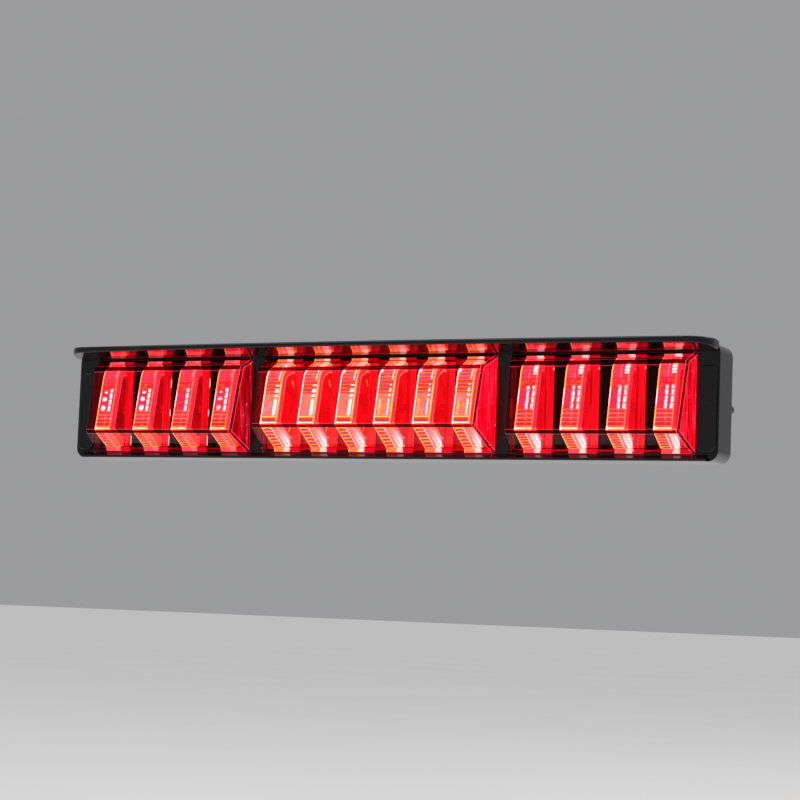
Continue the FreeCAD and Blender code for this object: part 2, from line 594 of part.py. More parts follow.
# ---------------------------------------------------------------- what the fitter handles
def cap_leg_places():
    middle = (CAP_TOP_Z + CAP_BOTTOM_Z) / 2
    return (middle + CAP_LEG_Z, middle - CAP_LEG_Z)


def end_cap():
    """A snap-in cover over a mounting screw, on the right-hand end."""
    half = CAP_W / 2
    plate = rounded_box(SCREW_X - half, SCREW_X + half, BASE_Y - CAP_PROUD, BASE_Y + CAP_SEAT - 0.05,
                        CAP_BOTTOM_Z, CAP_TOP_Z, CAP_CORNER - 0.2)
    face = [e for e in plate.Edges if max(v.Y for v in e.Vertexes) < BASE_Y - CAP_PROUD + 0.01]
    plate = plate.makeFillet(0.7, face)
    root = BASE_Y + CAP_SEAT - 0.1
    tip = root + CAP_LEG_L
    wide, thin = CAP_LEG_T / 2 + CAP_BARB, CAP_LEG_T / 2
    outline = [(root, thin), (tip - 4.0, thin), (tip - 3.6, wide), (tip, thin - 0.3),
               (tip, 0.3 - thin), (tip - 3.6, -wide), (tip - 4.0, -thin), (root, -thin)]
    legs = []
    for z in cap_leg_places():
        leg = extrude_yz(outline, SCREW_X - CAP_LEG_W / 2, SCREW_X + CAP_LEG_W / 2)
        leg.translate(Vec(0, 0, z))
        legs.append(leg)
    return fuse(plate, *legs)


def mounting_screw():
    """An M5 captive pan-head screw with a hexalobular recess and a slim neck, on the right-hand end."""
    seat = EAR_Y - WASHER_T
    head = rod(HEAD_R, SCREW_X, 0, seat - HEAD_H, seat)
    head = head.makeFillet(1.2, [e for e in head.Edges if abs(e.CenterOfMass.y - seat + HEAD_H) < 0.01])
    neck = rod(NECK_R, SCREW_X, 0, seat - 0.1, THREAD_Y + 0.1)
    thread = rod(SCREW_R, SCREW_X, 0, THREAD_Y, SCREW_END_Y - 1.0)
    point = Part.makeCone(SCREW_R, SCREW_R - 0.9, 1.0, Vec(SCREW_X, SCREW_END_Y - 1.0, 0), Y_AXIS)
    lobes = []
    for i in range(6):
        angle = math.radians(60 * i)
        lobes.append(rod(0.65, SCREW_X + 1.5 * math.cos(angle), 1.5 * math.sin(angle), seat - HEAD_H, seat - 1.4))
    recess = fuse(rod(1.5, SCREW_X, 0, seat - HEAD_H, seat - 1.4), *lobes)
    return cut(fuse(head, neck, thread, point), recess)


def mounting_washer():
    """A captive washer: its bore passes the screw's neck but not its thread."""
    return tube(WASHER_R, NECK_R + 0.15, SCREW_X, 0, EAR_Y - WASHER_T, EAR_Y)


def sleeve():
    """A steel sleeve in the housing's ear, which takes the screw's load."""
    return tube(SLEEVE_R, SLEEVE_BORE, SCREW_X, 0, EAR_Y, 0)


# ---------------------------------------------------------------- write the nodes
def main():
    os.makedirs("parts", exist_ok=True)
    save("rear_housing", housing())
    save("front_bezel", bezel())
    save("rear_seal", rear_seal())
    number = 1
    for name, block in BLOCKS.items():
        save(name + "_lens", lens(block))
        save(name + "_lens_seal", lens_seal(block))
        save(name + "_mask", mask(block))
        save(name + "_reflector", reflector(block))
        save(name + "_led_board", board(block))
        save(name + "_leds", leds(block))
        save(name + "_board_parts", board_parts(block))
        for x in guide_starts(block):
            save(f"light_guide_{number:02d}", light_guide(x, block["prow"]))
            number += 1
    save("board_screws", Part.makeCompound([s for b in BLOCKS.values() for s in board_screws(b)]))
    save("left_board_bridge", bridge(-1))
    save("right_board_bridge", bridge(1))
    save("connector_socket", connector_socket())
    save("connector_seal", connector_seal())
    save("terminal_pins", terminal_pins())
    save("vent_plug", vent_plug())
    save("bezel_screws", bezel_screws())
    for name, shape in (("end_cap", end_cap()), ("mounting_screw", mounting_screw()),
                        ("washer", mounting_washer()), ("sleeve", sleeve())):
        save("right_" + name, shape)
        save("left_" + name, mirrored(shape))


main()
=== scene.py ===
"""The looks of a third brake light, lit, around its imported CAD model. Everything is in metres."""
import math

import bmesh
import bpy
from mathutils import Matrix, Vector


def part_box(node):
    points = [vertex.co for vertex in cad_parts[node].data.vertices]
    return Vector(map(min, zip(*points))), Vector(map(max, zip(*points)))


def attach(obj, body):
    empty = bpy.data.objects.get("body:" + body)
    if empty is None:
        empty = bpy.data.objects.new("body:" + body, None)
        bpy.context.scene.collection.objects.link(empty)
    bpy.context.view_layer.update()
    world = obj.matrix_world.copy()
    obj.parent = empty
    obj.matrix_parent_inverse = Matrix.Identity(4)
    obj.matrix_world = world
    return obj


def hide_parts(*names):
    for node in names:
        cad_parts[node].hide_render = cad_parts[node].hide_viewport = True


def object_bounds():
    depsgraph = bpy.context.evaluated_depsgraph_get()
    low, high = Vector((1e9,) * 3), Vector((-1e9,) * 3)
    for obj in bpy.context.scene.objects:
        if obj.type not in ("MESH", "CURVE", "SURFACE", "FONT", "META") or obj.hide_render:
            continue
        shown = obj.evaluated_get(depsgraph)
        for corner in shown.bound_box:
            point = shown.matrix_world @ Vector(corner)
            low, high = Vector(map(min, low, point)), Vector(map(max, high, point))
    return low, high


MM = 0.001

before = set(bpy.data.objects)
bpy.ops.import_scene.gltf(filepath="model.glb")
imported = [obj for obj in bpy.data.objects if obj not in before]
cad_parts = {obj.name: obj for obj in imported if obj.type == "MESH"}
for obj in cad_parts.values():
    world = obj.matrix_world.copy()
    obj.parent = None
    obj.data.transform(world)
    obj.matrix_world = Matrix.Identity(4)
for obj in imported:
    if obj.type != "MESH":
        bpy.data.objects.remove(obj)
cad_low, cad_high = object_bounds()

# ---------------------------------------------------------------- sizes that follow from the frame
BASE_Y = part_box("left_mask")[0].y           # where the lens blocks leave the bezel
TRAY_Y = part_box("left_reflector")[0].y
FLANGE_LAP = 2.0 * MM                       # the lens flange, past the block on each side
BLOCK_HALF_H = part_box("left_lens")[1].z - FLANGE_LAP

# How far the crease and the top of the prow stand forward of the base plane, and their heights.
SIDE_PROW = {"crease_depth": 16.5 * MM, "crease_z": -17.0 * MM,
             "top_depth": 8.5 * MM, "top_z": 22.0 * MM}
MID_PROW = {"crease_depth": 21.0 * MM, "crease_z": -14.0 * MM,
            "top_depth": 14.0 * MM, "top_z": 20.0 * MM}
SIDE_DRAFT, MID_DRAFT = 0.22, 0.17          # how the slanted ends lean in

GUIDE_INSET = 1.9 * MM                      # from the outside of the lens to the guide
GUIDE_THICK = 5.4 * MM
GUIDE_ROUND = 10.0 * MM                     # the guide's upper front corner
GUIDE_FOOT = 1.0 * MM                       # how far the feet stand out each side
FOOT_THICK = 1.0 * MM
FOOT_SET = 1.3 * MM                         # from the reflector's front face back to the feet
LEG_START = 0.3 * MM                        # in front of the base plane, where the legs turn back
GUIDE_STEM_HALF_H = 23.8 * MM
FLUTE_PITCH = 2.3 * MM
FLUTE_STEPS = 6
FLUTE_DEPTH = 0.22 * MM
PILLOW_DEPTH = 0.10 * MM
SEAM_AT = 0.6                               # of the guide's width, between its two columns of flutes
CHAMFER = 0.5 * MM
EDGE_ROUND = 0.3 * MM
SHARP_FROM = math.radians(50)

FLOOR_DROP = 0.27                           # from the lamp down to the floor

BLOCKS = {
    "left": {"prow": SIDE_PROW, "draft": SIDE_DRAFT, "guides": range(1, 5)},
    "centre": {"prow": MID_PROW, "draft": MID_DRAFT, "guides": range(5, 11)},
    "right": {"prow": SIDE_PROW, "draft": SIDE_DRAFT, "guides": range(11, 15)},
}


# ---------------------------------------------------------------- numbers and colours worked out by nodes
class Num:
    """A number worked out by nodes. The usual signs make Math nodes, so that a pattern reads as a sum."""

    def __init__(self, tree, socket):
        self.tree = tree
        self.socket = socket

    def math(self, operation, *values):
        node = self.tree.nodes.new("ShaderNodeMath")
        node.operation = operation
        for slot, value in zip(node.inputs, values):
            plug(self.tree, slot, value)
        return Num(self.tree, node.outputs[0])

    def __add__(self, other):
        return self.math("ADD", self, other)

    def __sub__(self, other):
        return self.math("SUBTRACT", self, other)

    def __rsub__(self, other):
        return self.math("SUBTRACT", other, self)

    def __mul__(self, other):
        return self.math("MULTIPLY", self, other)

    def __truediv__(self, other):
        return self.math("DIVIDE", self, other)

    __radd__ = __add__
    __rmul__ = __mul__

    def __abs__(self):
        return self.math("ABSOLUTE", self)

    def fraction(self):
        return self.math("FRACT", self)

    def floor(self):
        return self.math("FLOOR", self)

    def at_most(self, other):
        return self.math("MINIMUM", self, other)

    def at_least(self, other):
        return self.math("MAXIMUM", self, other)

    def ramp(self, start, end):
        """0 up to start, 1 from end on, and smooth between; start may be the larger."""
        node = self.tree.nodes.new("ShaderNodeMapRange")
        node.interpolation_type = "SMOOTHSTEP"
        plug(self.tree, node.inputs["Value"], self)
        node.inputs["From Min"].default_value = min(start, end)
        node.inputs["From Max"].default_value = max(start, end)
        node.inputs["To Min"].default_value = 0.0 if start < end else 1.0
        node.inputs["To Max"].default_value = 1.0 if start < end else 0.0
        return Num(self.tree, node.outputs["Result"])

    def near(self, centre, half, soft):
        """1 within half of the centre, falling to 0 over soft."""
        return abs(self - centre).ramp(half + soft, half)

    def between(self, low, high, soft):
        """1 from low to high, falling to 0 over soft outside."""
        return self.near((low + high) / 2, (high - low) / 2, soft)


def plug(tree, slot, value):
    """Puts a number, a colour, a Num or another node's socket into a slot."""
    if isinstance(value, Num):
        tree.links.new(value.socket, slot)
    elif isinstance(value, bpy.types.NodeSocket):
        tree.links.new(value, slot)
    elif isinstance(value, tuple) and len(value) == 3 and slot.type == "RGBA":
        slot.default_value = (*value, 1.0)
    else:
        slot.default_value = value


class Paint:
    """A material under construction: its patterns, and layers of colour one over another."""

    def __init__(self, name):
        self.material = bpy.data.materials.new(name)
        self.material.use_nodes = True
        self.tree = self.material.node_tree
        self.tree.nodes.clear()
        self.colour = (0.0, 0.0, 0.0)

    def new(self, kind):
        return self.tree.nodes.new("ShaderNode" + kind)

    def place(self):
        """X, Y and Z in the lamp's frame at rest, in metres."""
        split = self.new("SeparateXYZ")
        self.tree.links.new(self.new("TexCoord").outputs["Object"], split.inputs[0])
        return [Num(self.tree, s) for s in split.outputs]

    def facing(self):
        """X, Y and Z of the surface's direction."""
        split = self.new("SeparateXYZ")
        self.tree.links.new(self.new("NewGeometry").outputs["Normal"], split.inputs[0])
        return [Num(self.tree, s) for s in split.outputs]

    def optic(self):
        """Across (0 to 1) and along (0 to 1) on the optical piece's own map."""
        node = self.new("UVMap")
        node.uv_map = "optic"
        split = self.new("SeparateXYZ")
        self.tree.links.new(node.outputs[0], split.inputs[0])
        return Num(self.tree, split.outputs[0]), Num(self.tree, split.outputs[1])

    def attribute(self, name):
        node = self.new("Attribute")
        node.attribute_name = name
        return Num(self.tree, node.outputs["Fac"])

    def vector(self, x, y, z):
        node = self.new("CombineXYZ")
        for slot, value in zip(node.inputs, (x, y, z)):
            plug(self.tree, slot, value)
        return node.outputs[0]

    def noise(self, vector, scale, detail=2.0):
        """Cloudy noise, 0 to 1 and mostly near 0.5."""
        node = self.new("TexNoise")
        self.tree.links.new(vector, node.inputs["Vector"])
        node.inputs["Scale"].default_value = scale
        node.inputs["Detail"].default_value = detail
        return Num(self.tree, node.outputs["Fac"])

    def specks(self, vector, scale):
        """Distance to the nearest of many scattered points."""
        node = self.new("TexVoronoi")
        self.tree.links.new(vector, node.inputs["Vector"])
        node.inputs["Scale"].default_value = scale
        return Num(self.tree, node.outputs["Distance"])

    def luck(self, a, b, c):
        """A fixed random number from 0 to 1 for each triple of whole numbers."""
        node = self.new("TexWhiteNoise")
        node.noise_dimensions = "3D"
        self.tree.links.new(self.vector(a, b, c), node.inputs["Vector"])
        return Num(self.tree, node.outputs["Value"])

    def over(self, colour, weight):
        """Lays a colour over what is painted so far, as thick as the weight says."""
        node = self.new("Mix")
        node.data_type = "RGBA"
        plug(self.tree, node.inputs["Factor"], weight)
        plug(self.tree, node.inputs[6], self.colour)
        plug(self.tree, node.inputs[7], colour)
        self.colour = node.outputs[2]

    def bump(self, height, distance, strength=1.0):
        """A normal for a height of 0 to 1 that stands for a distance in metres."""
        node = self.new("Bump")
        plug(self.tree, node.inputs["Height"], height)
        node.inputs["Distance"].default_value = distance
        node.inputs["Strength"].default_value = strength
        return node.outputs["Normal"]

    def principled(self, **values):
        """A Principled shader; an underscore in a name stands for a space."""
        node = self.new("BsdfPrincipled")
        for name, value in values.items():
            plug(self.tree, node.inputs[name.replace("_", " ")], value)
        return node

    def gloss_over(self, shader, straight=0.006, roughness=0.04):
        """Lays a clear gloss over a shader; it mirrors a share straight on and far more at a glance."""
        facing = self.new("LayerWeight")
        facing.inputs["Blend"].default_value = 0.5
        glance = Num(self.tree, facing.outputs["Facing"])
        gloss = self.new("BsdfGlossy")
        gloss.inputs["Color"].default_value = (1.0, 1.0, 1.0, 1.0)
        gloss.inputs["Roughness"].default_value = roughness
        mix = self.new("MixShader")
        plug(self.tree, mix.inputs[0], glance.math("POWER", glance, 5.0) * (1.0 - straight) + straight)
        self.tree.links.new(shader, mix.inputs[1])
        self.tree.links.new(gloss.outputs[0], mix.inputs[2])
        return mix.outputs[0]

    def output(self, shader):
        self.tree.links.new(shader, self.new("OutputMaterial").inputs["Surface"])
        return self.material


# ---------------------------------------------------------------- the prow's section
def cross(p, q, r, s):
    """Where the line through p and q meets the line through r and s."""
    d1, d2 = q - p, s - r
    t = (r - p).cross(d2) / d1.cross(d2)
    return p + d1 * t


def section(prow, inset):
    """(y, z) of the prow's foot, crease, top and head, moved inward by inset."""
    crease = Vector((BASE_Y - prow["crease_depth"], prow["crease_z"]))
    top = Vector((BASE_Y - prow["top_depth"], prow["top_z"]))
    foot, head = Vector((BASE_Y, -BLOCK_HALF_H)), Vector((BASE_Y, BLOCK_HALF_H))
    sides = []
    for a, b in ((foot, crease), (crease, top), (top, head)):
        along = (b - a).normalized()
        inward = Vector((along.y, -along.x)) * inset
        sides.append((a + inward, b + inward))
    base = (foot, head)
    return [cross(*base, *sides[0]), cross(*sides[0], *sides[1]), cross(*sides[1], *sides[2]),
            cross(*sides[2], *base)]


# ---------------------------------------------------------------- light guides
ZONES = ("front", "lower", "upper", "side", "back")
SIDE_LIFT = {"front": 0.0, "lower": 2.0, "upper": 4.0, "back": 6.0}     # added to v on the flat sides


def line(p, q, count):
    """count points from p towards q, without q."""
    return [p.lerp(q, i / count) for i in range(count)]


def turn(centre, start, end, count):
    """count points on the arc from start towards end, the short way, without end."""
    a, b = start - centre, end - centre
    angle = a.angle_signed(b)
    return [centre + Matrix.Rotation(-angle * i / count, 2) @ a for i in range(count)]


def guide_stations(prow):
    """The guide's bow from its lower foot to its upper one, as (outer, inner, zone, along, swell, flute).

    Outer and inner are (y, z) points; along runs from 0 to 1 over the zone; swell is how far a foot
    stands out at each side; flute is the place within a flute, or None.
    """
    out, inn = section(prow, GUIDE_INSET), section(prow, GUIDE_INSET + GUIDE_THICK)
    front_y = BASE_Y - LEG_START
    foot_y = TRAY_Y + FOOT_SET

    def at_depth(points, low, high, y):
        a, b = points[low], points[high]
        return a.lerp(b, (y - a.x) / (b.x - a.x))

    low_out, low_in = at_depth(out, 0, 1, front_y), at_depth(inn, 0, 1, front_y)
    high_out, high_in = at_depth(out, 3, 2, front_y), at_depth(inn, 3, 2, front_y)
    front_dir, upper_dir = (out[1] - out[2]).normalized(), (out[3] - out[2]).normalized()
    half_turn = front_dir.angle(upper_dir) / 2
    run = GUIDE_ROUND / math.tan(half_turn)
    centre = out[2] + (front_dir + upper_dir).normalized() * (GUIDE_ROUND / math.sin(half_turn))
    arc_a, arc_b = out[2] + front_dir * run, out[2] + upper_dir * run
    shrink = (GUIDE_ROUND - GUIDE_THICK) / GUIDE_ROUND
    in_a, in_b = centre + (arc_a - centre) * shrink, centre + (arc_b - centre) * shrink
    lower_dir = (out[0] - out[1]).normalized()
    chamfer_low, chamfer_high = out[1] + lower_dir * CHAMFER, out[1] - front_dir * CHAMFER

    def steps(length):
        return max(1, round(length / FLUTE_PITCH)) * FLUTE_STEPS

    stations = []

    def add(outer, inner, zone, start, end, fluted):
        count = len(outer)
        for i, (p, q) in enumerate(zip(outer, inner)):
            flute = (i % FLUTE_STEPS) / FLUTE_STEPS if fluted else None
            stations.append((p, q, zone, start + (end - start) * i / count, 0.0, flute))

    def foot(sign, points_in):
        outer_z = sign * GUIDE_STEM_HALF_H
        ends = [(foot_y + FOOT_THICK, GUIDE_FOOT), (foot_y, GUIDE_FOOT), (foot_y, 0.0), (front_y, 0.0)]
        rings = [(Vector((y, outer_z)), Vector((y, points_in.y)), "back", 0.0, swell, None)
                 for y, swell in ends]
        return rings if sign < 0 else rings[::-1]

    stations += foot(-1, low_in)
    n = steps((chamfer_low - low_out).length)
    add(line(low_out, chamfer_low, n), line(low_in, inn[1], n), "lower", 1.0, 0.03, True)
    add(line(chamfer_low, chamfer_high, 2), [inn[1]] * 2, "lower", 0.03, 0.0, False)
    n_front, n_arc = steps((arc_a - chamfer_high).length), steps(GUIDE_ROUND * (math.pi - 2 * half_turn))
    share = n_front / (n_front + n_arc)
    add(line(chamfer_high, arc_a, n_front), line(inn[1] + (in_a - inn[1]) * 0.02, in_a, n_front),
        "front", 0.0, share, True)
    add(turn(centre, arc_a, arc_b, n_arc), turn(centre, in_a, in_b, n_arc), "front", share, 1.0, True)
    n = steps((high_out - arc_b).length)
    add(line(arc_b, high_out, n), line(in_b, high_in, n), "upper", 0.0, 1.0, True)
    stations.append((high_out, high_in, "back", 0.0, 0.0, None))
    stations += foot(1, high_in)
    return stations


def guide_loop(width):
    """Once round the guide's bar, as (across, depth, face, u), from the left along the front first."""
    r = EDGE_ROUND
    points = [(0.0, r, "front", 0.0), (0.3 * r, 0.3 * r, "front", 0.01)]
    front_steps = 16
    for i in range(front_steps + 1):
        t = i / front_steps
        points.append((r + (width - 2 * r) * t, 0.0, "front", 0.02 + 0.96 * t))
    points += [(width - 0.3 * r, 0.3 * r, "front", 0.99), (width, r, "side", 0.0)]
    points += [(width, r + (GUIDE_THICK - 2 * r) * t, "side", t) for t in (0.25, 0.5, 0.75)]
    points += [(width, GUIDE_THICK - r, "side", 1.0), (width - r, GUIDE_THICK, "back", 0.0)]
    points += [(width * (1 - t), GUIDE_THICK, "back", t) for t in (0.25, 0.5, 0.75)]
    points += [(r, GUIDE_THICK, "back", 1.0), (0.0, GUIDE_THICK - r, "side", 1.0)]
    points += [(0.0, r + (GUIDE_THICK - 2 * r) * t, "side", t) for t in (0.75, 0.5, 0.25)]
    return points


def pillow(u):
    """How far the front sinks at u for its two columns of flutes, from 0 to 1."""
    low, high = (0.0, SEAM_AT) if u < SEAM_AT else (SEAM_AT, 1.0)
    t = (u - low) / (high - low) * 2 - 1
    return t ** 4


def light_guide(number, block, heat):
    """A fluted clear bow in place of one CAD guide; heat says how strongly its two columns glare."""
    node = f"light_guide_{number:02d}"
    low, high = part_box(node)
    x0, width = low.x + GUIDE_FOOT, high.x - low.x - 2 * GUIDE_FOOT
    loop = guide_loop(width)
    stations = guide_stations(block["prow"])
    mesh = bpy.data.meshes.new(f"guide_{number:02d}")
    bm = bmesh.new()
    optic = bm.loops.layers.uv.new("optic")
    rings = []
    for outer, inner, _, _, swell, flute in stations:
        thick = (inner - outer).length
        ring = []
        for across, depth, face, u in loop:
            sink = 0.0
            if flute is not None and face == "front":
                sink = FLUTE_DEPTH * (2 * (flute - 0.5)) ** 2 + PILLOW_DEPTH * pillow(u)
            point = outer.lerp(inner, min(1.0, depth / GUIDE_THICK + sink / thick))
            x = x0 + across + (swell if across > width / 2 else -swell)
            ring.append(bm.verts.new((x, point.x, point.y)))
        rings.append(ring)
    count = len(loop)
    for i in range(len(stations) - 1):
        zone, start, end = stations[i][2], stations[i][3], stations[i + 1][3]
        if stations[i + 1][2] != zone:
            end = {"lower": 0.0, "front": 1.0, "upper": 1.0, "back": 0.0}[zone]
        for j in range(count):
            k = (j + 1) % count
            face = bm.faces.new((rings[i][j], rings[i][k], rings[i + 1][k], rings[i + 1][j]))
            side = loop[j][2] if loop[j][2] == loop[k][2] or loop[k][2] == "back" else loop[k][2]
            u0, u1 = loop[j][3], loop[k][3]
            if side == "front":
                face.material_index = ZONES.index(zone)
                u0, u1 = (u0 if loop[j][2] == "front" else 0.0), (u1 if loop[k][2] == "front" else 1.0)
            else:
                face.material_index = ZONES.index(side)
                if loop[k][2] != loop[j][2]:
                    u1 = u0
            lift = SIDE_LIFT[zone] if side == "side" else 0.0
            for corner, (u, v) in zip(face.loops, ((u0, start), (u1, start), (u1, end), (u0, end))):
                corner[optic].uv = (u, v + lift)
    bm.faces.new(rings[0][::-1])
    bm.faces.new(rings[-1])
    bmesh.ops.recalc_face_normals(bm, faces=bm.faces)
    bm.to_mesh(mesh)
    bm.free()
    for polygon in mesh.polygons:
        polygon.use_smooth = True
    mesh.set_sharp_from_angle(angle=SHARP_FROM)
    for name, value in zip(("heat_left", "heat_right", "number"), (*heat, float(number))):
        layer = mesh.attributes.new(name, "FLOAT", "POINT")
        layer.data.foreach_set("value", [value] * len(mesh.vertices))
    guide = bpy.data.objects.new(f"guide_{number:02d}", mesh)
    bpy.context.scene.collection.objects.link(guide)
    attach(guide, "root")
    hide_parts(node)
    return guide


# ---------------------------------------------------------------- lit colours, past 1 where they glare
PINK = (3.0, 0.16, 0.46)
PEACH = (3.6, 0.95, 0.75)
ORANGE = (4.5, 1.7, 0.22)
YELLOW = (6.0, 3.6, 0.7)
WHITE = (8.0, 5.6, 5.6)
ROSE = (4.2, 1.5, 1.9)
RED = (1.5, 0.004, 0.03)
DEEP = (0.45, 0.0, 0.006)


def lit(paint, roughness=0.18, base=(0.05, 0.001, 0.002)):
    """Clear plastic that glows with what is painted."""
    shader = paint.principled(Base_Color=base, Roughness=roughness, Emission_Color=paint.colour,
                              Emission_Strength=1.0)
    return paint.output(shader.outputs[0])


def rungs(v, count, start=0.30, end=0.46):
    """1 at the valleys between flutes, 0 on them; start and end say how wide a valley is."""
    return abs((v * count).fraction() - 0.5).ramp(start, end)


def guide_front(kind):
    """The ladder of flutes on a guide's front."""
    paint = Paint(f"{kind}_guide_front")
    u, v = paint.optic()
    x, _, z = paint.place()
    number = paint.attribute("number")
    right_heat, left_heat = paint.attribute("heat_right"), paint.attribute("heat_left")
    cloud = paint.noise(paint.vector(x * 260, z * 160, 0.0), 1.0)
    fine = paint.noise(paint.vector(x * 1400, z * 520, 3.0), 1.0)
    rows = 18 if kind != "centre" else 17
    rung, half_rung = rungs(v, rows), rungs(v, rows * 2)
    luck = paint.luck((v * rows).floor(), number, 1.0)
    dash = paint.luck((v * rows * 2).floor(), (u * 9).floor(), number)
    paint.colour = PINK
    if kind == "centre":
        paint.over(PEACH, v.between(0.10, 0.47, 0.06) * 0.75)
        paint.over(ORANGE, v.between(0.10, 0.47, 0.05) * cloud.ramp(0.50, 0.60) * 0.45)
        paint.over(ROSE, v.between(0.16, 0.42, 0.06) * cloud.ramp(0.47, 0.38) * 0.5)
        paint.over(PEACH, v.ramp(0.70, 0.80) * cloud.ramp(0.4, 0.6) * 0.6)
        paint.over(RED, v.between(0.52, 0.70, 0.03) * (0.45 + 0.5 * luck))
        paint.over(PEACH, v.between(0.50, 0.72, 0.02) * half_rung * (0.3 + dash * 0.7))
        paint.over(ORANGE, rung * v.between(0.44, 0.98, 0.02) * (0.35 + luck * 0.6))
        paint.over(ORANGE, half_rung * v.between(0.10, 0.44, 0.02) * (0.15 + dash * 0.4))
        paint.over(RED, v.between(0.045, 0.105, 0.01) * (0.5 + fine * 0.3))
        paint.over(YELLOW, v.near(0.118, 0.006, 0.006) * 0.8)
    else:
        seam = u.near(SEAM_AT, 0.012, 0.02)
        paint.over(RED, fine.ramp(0.55, 0.40) * 0.45)
        paint.over(PEACH, half_rung * v.ramp(0.60, 0.70) * (0.25 + dash * 0.45))
        paint.over(RED, half_rung * v.between(0.28, 0.58, 0.03) * (0.35 + dash * 0.4))
        paint.over(RED, seam * v.ramp(0.6, 0.7) * 0.6)
        paint.over(RED, v.between(0.55, 0.69, 0.015) * (0.25 + luck * 0.55))
        paint.over(DEEP, v.between(0.55, 0.69, 0.015) * half_rung * (0.35 + luck * 0.5))
        paint.over(ORANGE, v.between(0.56, 0.68, 0.01) * half_rung * dash.ramp(0.62, 0.8))
        paint.over(ORANGE, rung * v.ramp(0.31, 0.24) * (0.45 + luck * 0.5))
        paint.over(ORANGE, seam * v.ramp(0.30, 0.20) * 0.7)
        paint.over(RED, v.between(0.05, 0.135, 0.008) * (1 - rung) * (0.35 + dash * 0.5))

    # where the front glares: each block's guides have their own lumps, bars and columns
    gaps = rungs(v, 11, 0.32, 0.48)
    stray = paint.noise(paint.vector(u * 3.1, number * 4.7, v * 16), 1.0, 2.0) - 0.5
    if kind == "left":
        column = abs(u - 0.75 + stray * 0.05).ramp(0.13, 0.03) * v.between(0.28, 0.59, 0.03)
        hot = column * (1 - gaps * 0.8) * right_heat
        for middle, height, wide, tall in ((0.34, 0.325, 0.17, 0.056), (0.36, 0.455, 0.20, 0.042),
                                           (0.37, 0.550, 0.15, 0.022)):
            along, up = (u - middle + stray * 0.2) / wide, (v - height + stray * 0.03) / tall
            hot = hot.at_least((along * along + up * up + stray * 0.6).ramp(1.0, 0.0) * left_heat)
        paint.over(ROSE, u.near(0.9, 0.02, 0.03) * v.between(0.78, 0.93, 0.02) * (0.5 + dash * 0.5))
    elif kind == "centre":
        from_eight = number.ramp(7.4, 7.6)
        slim = from_eight * 0.8 + 1.0
        chain = 1 - rung * from_eight * 0.7
        bar = (abs(u - 0.79 + stray * 0.06) * slim).ramp(0.15, 0.04) * v.between(0.17, 0.385, 0.05)
        hot = bar * right_heat * chain
        beads = v.near(0.465, 0.012, 0.012) + v.near(0.545, 0.022, 0.012) + v.near(0.635, 0.006, 0.010)
        hot = hot.at_least((abs(u - 0.80) * slim).ramp(0.16, 0.06) * beads * right_heat)
        hot = hot.at_least(u.near(0.85, 0.02, 0.03) * v.between(0.73, 0.93, 0.02) * (0.5 + dash * 0.6))
        hot = hot.at_least(u.ramp(0.26, 0.10) * v.between(0.86, 0.96, 0.04) * left_heat)
        bead = rungs(v, rows, 0.46, 0.14)
        column = u.near(0.27, 0.03, 0.08) * v.between(0.18, 0.38, 0.05) * (0.75 + bead * 0.25)
        paint.over(YELLOW, column * from_eight * (0.25 + luck * 0.6))
    else:
        hot = abs(u - 0.86).ramp(0.16, 0.08) * v.between(0.765, 0.95, 0.02) * right_heat
        hot = hot * (1 - rung * 0.8)
        for middle, depth in ((0.55, 0.45), (0.87, 0.8)):
            column = abs(u - middle + stray * 0.12).ramp(0.12, 0.02) * v.between(0.30, 0.575, 0.04)
            hot = hot.at_least(column * (1 - gaps * depth) * (0.6 + luck * 0.4))
        paint.over(ROSE, u.near(0.54, 0.012, 0.02) * v.between(0.70, 0.97, 0.02) * dash.ramp(0.3, 0.5))
    paint.over(ROSE, (hot * 1.6).at_most(1.0))
    paint.over(WHITE, (hot * 1.5 - 0.35).at_least(0.0).at_most(1.0))

    # the edges, the crease and its small white sparks
    if kind == "centre":
        paint.over(YELLOW, u.ramp(0.10, 0.06))
        paint.over(WHITE, u.ramp(0.075, 0.045) * v.between(0.0, 0.95, 0.05))
        paint.over(ORANGE, u.ramp(0.94, 0.97))
        paint.over(YELLOW, u.ramp(0.945, 0.975) * v.between(0.25, 0.62, 0.15))
    else:
        edge = u.ramp(0.075, 0.04)
        paint.over(ORANGE, edge)
        paint.over(YELLOW, edge * (0.55 + cloud * 0.5).at_most(1.0))
        paint.over(WHITE, edge * v.between(0.37, 0.54, 0.05))
        paint.over(ORANGE, u.ramp(0.93, 0.96) * (0.25 + dash * 0.7))
    paint.over(ORANGE, v.between(0.0, 0.035, 0.006) * (0.5 + 0.5 * fine))
    blobs = paint.noise(paint.vector(u * 9, number * 5.3, v * 20), 1.0, 1.0).ramp(0.42, 0.60)
    paint.over(YELLOW, v.near(0.026, 0.008, 0.010) * 0.8)
    paint.over(WHITE, v.near(0.026, 0.004, 0.008) * (0.9 if kind == "centre" else blobs))
    paint.over(WHITE, u.ramp(0.16, 0.04) * v.ramp(0.06, 0.03))
    return lit(paint)


